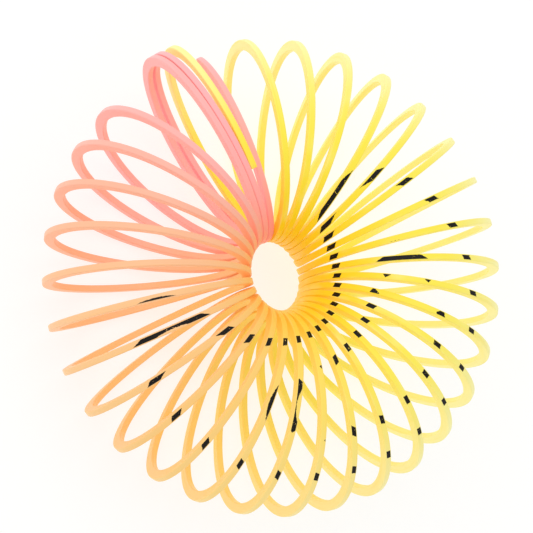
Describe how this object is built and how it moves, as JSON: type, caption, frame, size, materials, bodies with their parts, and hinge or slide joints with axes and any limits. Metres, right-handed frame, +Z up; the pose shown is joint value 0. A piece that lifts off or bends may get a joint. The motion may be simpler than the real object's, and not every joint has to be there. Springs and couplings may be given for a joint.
{
  "type": "coil spring toy",
  "caption": "Flexible plastic rainbow coil spring bent into a flat ring, with its two ends drawn together; the turns fan out, close up and stretch.",
  "frame": {"origin": "middle of the base of the ring, on the surface it lies on", "axes": "+Z up, along the axis of the ring; the two ends of the coil come together at +Y"},
  "size_m": [0.0824, 0.0832, 0.0351],
  "materials": {
    "yellow_plastic": "soft translucent bright yellow plastic, satin",
    "amber_plastic": "soft translucent amber plastic, satin",
    "apricot_plastic": "soft translucent apricot plastic, satin",
    "pink_plastic": "soft translucent salmon pink plastic, satin"
  },
  "bodies": {
    "yellow_end_turn": {"yellow_end_turn": "yellow_plastic"},
    "turn_01_upper": {"turn_01_upper": "yellow_plastic"},
    "turn_01_lower": {"turn_01_lower": "yellow_plastic"},
    "turn_02_upper": {"turn_02_upper": "yellow_plastic"},
    "turn_02_lower": {"turn_02_lower": "yellow_plastic"},
    "turn_03_upper": {"turn_03_upper": "yellow_plastic"},
    "turn_03_lower": {"turn_03_lower": "yellow_plastic"},
    "turn_04_upper": {"turn_04_upper": "yellow_plastic"},
    "turn_04_lower": {"turn_04_lower": "yellow_plastic"},
    "turn_05_upper": {"turn_05_upper": "yellow_plastic"},
    "turn_05_lower": {"turn_05_lower": "yellow_plastic"},
    "turn_06_upper": {"turn_06_upper": "yellow_plastic"},
    "turn_06_lower": {"turn_06_lower": "yellow_plastic"},
    "turn_07_upper": {"turn_07_upper": "yellow_plastic"},
    "turn_07_lower": {"turn_07_lower": "yellow_plastic"},
    "turn_08_upper": {"turn_08_upper": "yellow_plastic"},
    "turn_08_lower": {"turn_08_lower": "yellow_plastic"},
    "turn_09_upper": {"turn_09_upper": "yellow_plastic"},
    "turn_09_lower": {"turn_09_lower": "yellow_plastic"},
    "turn_10_upper": {"turn_10_upper": "yellow_plastic"},
    "turn_10_lower": {"turn_10_lower": "yellow_plastic"},
    "turn_11_upper": {"turn_11_upper": "yellow_plastic"},
    "turn_11_lower": {"turn_11_lower": "yellow_plastic"},
    "turn_12_upper": {"turn_12_upper": "yellow_plastic"},
    "turn_12_lower": {"turn_12_lower": "yellow_plastic"},
    "turn_13_upper": {"turn_13_upper": "yellow_plastic"},
    "turn_13_lower": {"turn_13_lower": "yellow_plastic"},
    "turn_14_upper": {"turn_14_upper": "yellow_plastic"},
    "turn_14_lower": {"turn_14_lower": "yellow_plastic"},
    "turn_15_upper": {"turn_15_upper": "yellow_plastic"},
    "turn_15_lower": {"turn_15_lower": "yellow_plastic"},
    "turn_16_upper": {"turn_16_upper": "yellow_plastic"},
    "turn_16_lower": {"turn_16_lower": "yellow_plastic"},
    "turn_17_upper": {"turn_17_upper": "amber_plastic"},
    "turn_17_lower": {"turn_17_lower": "amber_plastic"},
    "turn_18_upper": {"turn_18_upper": "amber_plastic"},
    "turn_18_lower": {"turn_18_lower": "amber_plastic"},
    "turn_19_upper": {"turn_19_upper": "amber_plastic"},
    "turn_19_lower": {"turn_19_lower": "amber_plastic"},
    "turn_20_upper": {"turn_20_upper": "amber_plastic"},
    "turn_20_lower": {"turn_20_lower": "amber_plastic"},
    "turn_21_upper": {"turn_21_upper": "amber_plastic"},
    "turn_21_lower": {"turn_21_lower": "amber_plastic"},
    "turn_22_upper": {"turn_22_upper": "amber_plastic"},
    "turn_22_lower": {"turn_22_lower": "amber_plastic"},
    "turn_23_upper": {"turn_23_upper": "apricot_plastic"},
    "turn_23_lower": {"turn_23_lower": "apricot_plastic"},
    "turn_24_upper": {"turn_24_upper": "apricot_plastic"},
    "turn_24_lower": {"turn_24_lower": "apricot_plastic"},
    "turn_25_upper": {"turn_25_upper": "apricot_plastic"},
    "turn_25_lower": {"turn_25_lower": "apricot_plastic"},
    "turn_26_upper": {"turn_26_upper": "apricot_plastic"},
    "turn_26_lower": {"turn_26_lower": "apricot_plastic"},
    "turn_27_upper": {"turn_27_upper": "apricot_plastic"},
    "turn_27_lower": {"turn_27_lower": "apricot_plastic"},
    "turn_28_upper": {"turn_28_upper": "pink_plastic"},
    "turn_28_lower": {"turn_28_lower": "pink_plastic"},
    "turn_29": {"turn_29": "pink_plastic"},
    "turn_30": {"turn_30": "pink_plastic"},
    "pink_end_turn": {"pink_end_turn": "pink_plastic"}
  },
  "joints": [
    {"name": "inner_bend_01", "type": "hinge", "parent": "turn_01_upper", "child": "yellow_end_turn", "pos_m": [0.00068, 0.0065, 0.01758], "axis": [0, 0, -1], "range_deg": [0, 16.66]},
    {"name": "inner_bend_02", "type": "hinge", "parent": "turn_02_upper", "child": "turn_01_lower", "pos_m": [0.00201, 0.00624, 0.01758], "axis": [0, 0, -1], "range_deg": [0, 13.57]},
    {"name": "inner_bend_03", "type": "hinge", "parent": "turn_03_upper", "child": "turn_02_lower", "pos_m": [0.00326, 0.00572, 0.01758], "axis": [0, 0, -1], "range_deg": [0, 12.91]},
    {"name": "inner_bend_04", "type": "hinge", "parent": "turn_04_upper", "child": "turn_03_lower", "pos_m": [0.00438, 0.00497, 0.01758], "axis": [0, 0, -1], "range_deg": [0, 12.44]},
    {"name": "inner_bend_05", "type": "hinge", "parent": "turn_05_upper", "child": "turn_04_lower", "pos_m": [0.00534, 0.00401, 0.01758], "axis": [0, 0, -1], "range_deg": [0, 12.1]},
    {"name": "inner_bend_06", "type": "hinge", "parent": "turn_06_upper", "child": "turn_05_lower", "pos_m": [0.00609, 0.00289, 0.01758], "axis": [0, 0, -1], "range_deg": [0, 11.86]},
    {"name": "inner_bend_07", "type": "hinge", "parent": "turn_07_upper", "child": "turn_06_lower", "pos_m": [0.00661, 0.00164, 0.01758], "axis": [0, 0, -1], "range_deg": [0, 11.69]},
    {"name": "inner_bend_08", "type": "hinge", "parent": "turn_08_upper", "child": "turn_07_lower", "pos_m": [0.00687, 0.00031, 0.01758], "axis": [0, 0, -1], "range_deg": [0, 11.56]},
    {"name": "inner_bend_09", "type": "hinge", "parent": "turn_09_upper", "child": "turn_08_lower", "pos_m": [0.00687, -0.00104, 0.01758], "axis": [0, 0, -1], "range_deg": [0, 11.47]},
    {"name": "inner_bend_10", "type": "hinge", "parent": "turn_10_upper", "child": "turn_09_lower", "pos_m": [0.00661, -0.00237, 0.01758], "axis": [0, 0, -1], "range_deg": [0, 11.41]},
    {"name": "inner_bend_11", "type": "hinge", "parent": "turn_11_upper", "child": "turn_10_lower", "pos_m": [0.00609, -0.00362, 0.01758], "axis": [0, 0, -1], "range_deg": [0, 11.36]},
    {"name": "inner_bend_12", "type": "hinge", "parent": "turn_12_upper", "child": "turn_11_lower", "pos_m": [0.00534, -0.00474, 0.01758], "axis": [0, 0, -1], "range_deg": [0, 11.33]},
    {"name": "inner_bend_13", "type": "hinge", "parent": "turn_13_upper", "child": "turn_12_lower", "pos_m": [0.00438, -0.0057, 0.01758], "axis": [0, 0, -1], "range_deg": [0, 11.3]},
    {"name": "inner_bend_14", "type": "hinge", "parent": "turn_14_upper", "child": "turn_13_lower", "pos_m": [0.00326, -0.00645, 0.01758], "axis": [0, 0, -1], "range_deg": [0, 11.29]},
    {"name": "inner_bend_15", "type": "hinge", "parent": "turn_14_lower", "child": "turn_15_upper", "pos_m": [0.00201, -0.00697, 0.01758], "axis": [0, 0, 1], "range_deg": [0, 11.27]},
    {"name": "inner_bend_16", "type": "hinge", "parent": "turn_15_lower", "child": "turn_16_upper", "pos_m": [0.00068, -0.00723, 0.01758], "axis": [0, 0, 1], "range_deg": [0, 11.26]},
    {"name": "inner_bend_17", "type": "hinge", "parent": "turn_16_lower", "child": "turn_17_upper", "pos_m": [-0.00067, -0.00723, 0.01758], "axis": [0, 0, 1], "range_deg": [0, 11.25]},
    {"name": "inner_bend_18", "type": "hinge", "parent": "turn_17_lower", "child": "turn_18_upper", "pos_m": [-0.002, -0.00697, 0.01758], "axis": [0, 0, 1], "range_deg": [0, 11.24]},
    {"name": "inner_bend_19", "type": "hinge", "parent": "turn_18_lower", "child": "turn_19_upper", "pos_m": [-0.00325, -0.00645, 0.01758], "axis": [0, 0, 1], "range_deg": [0, 11.23]},
    {"name": "inner_bend_20", "type": "hinge", "parent": "turn_19_lower", "child": "turn_20_upper", "pos_m": [-0.00437, -0.0057, 0.01758], "axis": [0, 0, 1], "range_deg": [0, 11.22]},
    {"name": "inner_bend_21", "type": "hinge", "parent": "turn_20_lower", "child": "turn_21_upper", "pos_m": [-0.00533, -0.00474, 0.01758], "axis": [0, 0, 1], "range_deg": [0, 11.21]},
    {"name": "inner_bend_22", "type": "hinge", "parent": "turn_21_lower", "child": "turn_22_upper", "pos_m": [-0.00608, -0.00362, 0.01758], "axis": [0, 0, 1], "range_deg": [0, 11.19]},
    {"name": "inner_bend_23", "type": "hinge", "parent": "turn_22_lower", "child": "turn_23_upper", "pos_m": [-0.0066, -0.00237, 0.01758], "axis": [0, 0, 1], "range_deg": [0, 11.17]},
    {"name": "inner_bend_24", "type": "hinge", "parent": "turn_23_lower", "child": "turn_24_upper", "pos_m": [-0.00686, -0.00104, 0.01758], "axis": [0, 0, 1], "range_deg": [0, 11.14]},
    {"name": "inner_bend_25", "type": "hinge", "parent": "turn_24_lower", "child": "turn_25_upper", "pos_m": [-0.00686, 0.00031, 0.01758], "axis": [0, 0, 1], "range_deg": [0, 11.1]},
    {"name": "inner_bend_26", "type": "hinge", "parent": "turn_25_lower", "child": "turn_26_upper", "pos_m": [-0.0066, 0.00164, 0.01758], "axis": [0, 0, 1], "range_deg": [0, 11.04]},
    {"name": "inner_bend_27", "type": "hinge", "parent": "turn_26_lower", "child": "turn_27_upper", "pos_m": [-0.00608, 0.00289, 0.01758], "axis": [0, 0, 1], "range_deg": [0, 10.95]},
    {"name": "inner_bend_28", "type": "hinge", "parent": "turn_27_lower", "child": "turn_28_upper", "pos_m": [-0.00533, 0.00401, 0.01758], "axis": [0, 0, 1], "range_deg": [0, 10.83]},
    {"name": "inner_bend_29", "type": "hinge", "parent": "turn_28_lower", "child": "turn_29", "pos_m": [-0.00437, 0.00497, 0.01758], "axis": [0, 0, 1], "range_deg": [0, 10.67]},
    {"name": "inner_bend_30", "type": "hinge", "parent": "turn_29", "child": "turn_30", "pos_m": [-0.00325, 0.00572, 0.01758], "axis": [0, 0, 1], "range_deg": [0, 13.55]},
    {"name": "inner_bend_31", "type": "hinge", "parent": "turn_30", "child": "pink_end_turn", "pos_m": [-0.002, 0.00624, 0.01758], "axis": [0, 0, 1], "range_deg": [0, 0.202]},
    {"name": "outer_bend_01", "type": "hinge", "parent": "turn_01_lower", "child": "turn_01_upper", "pos_m": [0.00173, 0.0399, 0.01758], "axis": [0, 0, -1], "range_deg": [0, 9]},
    {"name": "outer_bend_02", "type": "hinge", "parent": "turn_02_lower", "child": "turn_02_upper", "pos_m": [0.01086, 0.03845, 0.01758], "axis": [0, 0, -1], "range_deg": [0, 9]},
    {"name": "outer_bend_03", "type": "hinge", "parent": "turn_03_lower", "child": "turn_03_upper", "pos_m": [0.01908, 0.03513, 0.01758], "axis": [0, 0, -1], "range_deg": [0, 9]},
    {"name": "outer_bend_04", "type": "hinge", "parent": "turn_04_lower", "child": "turn_04_upper", "pos_m": [0.02618, 0.03028, 0.01758], "axis": [0, 0, -1], "range_deg": [0, 9]},
    {"name": "outer_bend_05", "type": "hinge", "parent": "turn_05_lower", "child": "turn_05_upper", "pos_m": [0.03196, 0.02419, 0.01758], "axis": [0, 0, -1], "range_deg": [0, 9]},
    {"name": "outer_bend_06", "type": "hinge", "parent": "turn_06_lower", "child": "turn_06_upper", "pos_m": [0.03629, 0.01717, 0.01758], "axis": [0, 0, -1], "range_deg": [0, 9]},
    {"name": "outer_bend_07", "type": "hinge", "parent": "turn_07_lower", "child": "turn_07_upper", "pos_m": [0.03908, 0.0095, 0.01758], "axis": [0, 0, -1], "range_deg": [0, 9]},
    {"name": "outer_bend_08", "type": "hinge", "parent": "turn_08_lower", "child": "turn_08_upper", "pos_m": [0.04026, 0.00151, 0.01758], "axis": [0, 0, -1], "range_deg": [0, 9]},
    {"name": "outer_bend_09", "type": "hinge", "parent": "turn_09_lower", "child": "turn_09_upper", "pos_m": [0.03983, -0.00651, 0.01758], "axis": [0, 0, -1], "range_deg": [0, 9]},
    {"name": "outer_bend_10", "type": "hinge", "parent": "turn_10_lower", "child": "turn_10_upper", "pos_m": [0.03783, -0.01425, 0.01758], "axis": [0, 0, -1], "range_deg": [0, 9]},
    {"name": "outer_bend_11", "type": "hinge", "parent": "turn_11_lower", "child": "turn_11_upper", "pos_m": [0.03436, -0.02142, 0.01758], "axis": [0, 0, -1], "range_deg": [0, 9]},
    {"name": "outer_bend_12", "type": "hinge", "parent": "turn_12_lower", "child": "turn_12_upper", "pos_m": [0.02956, -0.02775, 0.01758], "axis": [0, 0, -1], "range_deg": [0, 9]},
    {"name": "outer_bend_13", "type": "hinge", "parent": "turn_13_lower", "child": "turn_13_upper", "pos_m": [0.02362, -0.03302, 0.01758], "axis": [0, 0, -1], "range_deg": [0, 9]},
    {"name": "outer_bend_14", "type": "hinge", "parent": "turn_14_lower", "child": "turn_14_upper", "pos_m": [0.01678, -0.03701, 0.01758], "axis": [0, 0, -1], "range_deg": [0, 9], "stiffness_Nm_per_rad": 0.02},
    {"name": "outer_bend_15", "type": "hinge", "parent": "turn_15_upper", "child": "turn_15_lower", "pos_m": [0.00929, -0.03958, 0.01758], "axis": [0, 0, 1], "range_deg": [0, 9]},
    {"name": "outer_bend_16", "type": "hinge", "parent": "turn_16_upper", "child": "turn_16_lower", "pos_m": [0.00146, -0.04064, 0.01758], "axis": [0, 0, 1], "range_deg": [0, 9]},
    {"name": "outer_bend_17", "type": "hinge", "parent": "turn_17_upper", "child": "turn_17_lower", "pos_m": [-0.00643, -0.04015, 0.01758], "axis": [0, 0, 1], "range_deg": [0, 9]},
    {"name": "outer_bend_18", "type": "hinge", "parent": "turn_18_upper", "child": "turn_18_lower", "pos_m": [-0.01407, -0.03813, 0.01758], "axis": [0, 0, 1], "range_deg": [0, 9]},
    {"name": "outer_bend_19", "type": "hinge", "parent": "turn_19_upper", "child": "turn_19_lower", "pos_m": [-0.02116, -0.03466, 0.01758], "axis": [0, 0, 1], "range_deg": [0, 9]},
    {"name": "outer_bend_20", "type": "hinge", "parent": "turn_20_upper", "child": "turn_20_lower", "pos_m": [-0.02743, -0.02988, 0.01758], "axis": [0, 0, 1], "range_deg": [0, 9]},
    {"name": "outer_bend_21", "type": "hinge", "parent": "turn_21_upper", "child": "turn_21_lower", "pos_m": [-0.03265, -0.02398, 0.01758], "axis": [0, 0, 1], "range_deg": [0, 9]},
    {"name": "outer_bend_22", "type": "hinge", "parent": "turn_22_upper", "child": "turn_22_lower", "pos_m": [-0.03662, -0.01718, 0.01758], "axis": [0, 0, 1], "range_deg": [0, 9]},
    {"name": "outer_bend_23", "type": "hinge", "parent": "turn_23_upper", "child": "turn_23_lower", "pos_m": [-0.03919, -0.00976, 0.01758], "axis": [0, 0, 1], "range_deg": [0, 9]},
    {"name": "outer_bend_24", "type": "hinge", "parent": "turn_24_upper", "child": "turn_24_lower", "pos_m": [-0.04026, -0.002, 0.01758], "axis": [0, 0, 1], "range_deg": [0, 9]},
    {"name": "outer_bend_25", "type": "hinge", "parent": "turn_25_upper", "child": "turn_25_lower", "pos_m": [-0.03982, 0.0058, 0.01758], "axis": [0, 0, 1], "range_deg": [0, 9]},
    {"name": "outer_bend_26", "type": "hinge", "parent": "turn_26_upper", "child": "turn_26_lower", "pos_m": [-0.0379, 0.01334, 0.01758], "axis": [0, 0, 1], "range_deg": [0, 9]},
    {"name": "outer_bend_27", "type": "hinge", "parent": "turn_27_upper", "child": "turn_27_lower", "pos_m": [-0.03459, 0.02032, 0.01758], "axis": [0, 0, 1], "range_deg": [0, 9]},
    {"name": "outer_bend_28", "type": "hinge", "parent": "turn_28_upper", "child": "turn_28_lower", "pos_m": [-0.03005, 0.02649, 0.01758], "axis": [0, 0, 1], "range_deg": [0, 9]}
  ],
  "couplings": [
    {"joint": "inner_bend_01", "follows": "inner_bend_15", "ratio": 1.4782},
    {"joint": "inner_bend_02", "follows": "inner_bend_15", "ratio": 1.204},
    {"joint": "inner_bend_03", "follows": "inner_bend_15", "ratio": 1.1456},
    {"joint": "inner_bend_04", "follows": "inner_bend_15", "ratio": 1.1037},
    {"joint": "inner_bend_05", "follows": "inner_bend_15", "ratio": 1.0736},
    {"joint": "inner_bend_06", "follows": "inner_bend_15", "ratio": 1.0521},
    {"joint": "inner_bend_07", "follows": "inner_bend_15", "ratio": 1.0367},
    {"joint": "inner_bend_08", "follows": "inner_bend_15", "ratio": 1.0256},
    {"joint": "inner_bend_09", "follows": "inner_bend_15", "ratio": 1.0177},
    {"joint": "inner_bend_10", "follows": "inner_bend_15", "ratio": 1.012},
    {"joint": "inner_bend_11", "follows": "inner_bend_15", "ratio": 1.0079},
    {"joint": "inner_bend_12", "follows": "inner_bend_15", "ratio": 1.005},
    {"joint": "inner_bend_13", "follows": "inner_bend_15", "ratio": 1.0028},
    {"joint": "inner_bend_14", "follows": "inner_bend_15", "ratio": 1.0012},
    {"joint": "inner_bend_16", "follows": "inner_bend_15", "ratio": 0.999},
    {"joint": "inner_bend_17", "follows": "inner_bend_15", "ratio": 0.9982},
    {"joint": "inner_bend_18", "follows": "inner_bend_15", "ratio": 0.9975},
    {"joint": "inner_bend_19", "follows": "inner_bend_15", "ratio": 0.9967},
    {"joint": "inner_bend_20", "follows": "inner_bend_15", "ratio": 0.9957},
    {"joint": "inner_bend_21", "follows": "inner_bend_15", "ratio": 0.9946},
    {"joint": "inner_bend_22", "follows": "inner_bend_15", "ratio": 0.993},
    {"joint": "inner_bend_23", "follows": "inner_bend_15", "ratio": 0.991},
    {"joint": "inner_bend_24", "follows": "inner_bend_15", "ratio": 0.9882},
    {"joint": "inner_bend_25", "follows": "inner_bend_15", "ratio": 0.9843},
    {"joint": "inner_bend_26", "follows": "inner_bend_15", "ratio": 0.9789},
    {"joint": "inner_bend_27", "follows": "inner_bend_15", "ratio": 0.9714},
    {"joint": "inner_bend_28", "follows": "inner_bend_15", "ratio": 0.9609},
    {"joint": "inner_bend_29", "follows": "inner_bend_15", "ratio": 0.9462},
    {"joint": "inner_bend_30", "follows": "inner_bend_15", "ratio": 1.2019},
    {"joint": "inner_bend_31", "follows": "inner_bend_15", "ratio": 0.0177},
    {"joint": "outer_bend_01", "follows": "outer_bend_14", "ratio": 1},
    {"joint": "outer_bend_02", "follows": "outer_bend_14", "ratio": 1},
    {"joint": "outer_bend_03", "follows": "outer_bend_14", "ratio": 1},
    {"joint": "outer_bend_04", "follows": "outer_bend_14", "ratio": 1},
    {"joint": "outer_bend_05", "follows": "outer_bend_14", "ratio": 1},
    {"joint": "outer_bend_06", "follows": "outer_bend_14", "ratio": 1},
    {"joint": "outer_bend_07", "follows": "outer_bend_14", "ratio": 1},
    {"joint": "outer_bend_08", "follows": "outer_bend_14", "ratio": 1},
    {"joint": "outer_bend_09", "follows": "outer_bend_14", "ratio": 1},
    {"joint": "outer_bend_10", "follows": "outer_bend_14", "ratio": 1},
    {"joint": "outer_bend_11", "follows": "outer_bend_14", "ratio": 1},
    {"joint": "outer_bend_12", "follows": "outer_bend_14", "ratio": 1},
    {"joint": "outer_bend_13", "follows": "outer_bend_14", "ratio": 1},
    {"joint": "outer_bend_15", "follows": "outer_bend_14", "ratio": 1},
    {"joint": "outer_bend_16", "follows": "outer_bend_14", "ratio": 1},
    {"joint": "outer_bend_17", "follows": "outer_bend_14", "ratio": 1},
    {"joint": "outer_bend_18", "follows": "outer_bend_14", "ratio": 1},
    {"joint": "outer_bend_19", "follows": "outer_bend_14", "ratio": 1},
    {"joint": "outer_bend_20", "follows": "outer_bend_14", "ratio": 1},
    {"joint": "outer_bend_21", "follows": "outer_bend_14", "ratio": 1},
    {"joint": "outer_bend_22", "follows": "outer_bend_14", "ratio": 1},
    {"joint": "outer_bend_23", "follows": "outer_bend_14", "ratio": 1},
    {"joint": "outer_bend_24", "follows": "outer_bend_14", "ratio": 1},
    {"joint": "outer_bend_25", "follows": "outer_bend_14", "ratio": 1},
    {"joint": "outer_bend_26", "follows": "outer_bend_14", "ratio": 1},
    {"joint": "outer_bend_27", "follows": "outer_bend_14", "ratio": 1},
    {"joint": "outer_bend_28", "follows": "outer_bend_14", "ratio": 1}
  ]
}
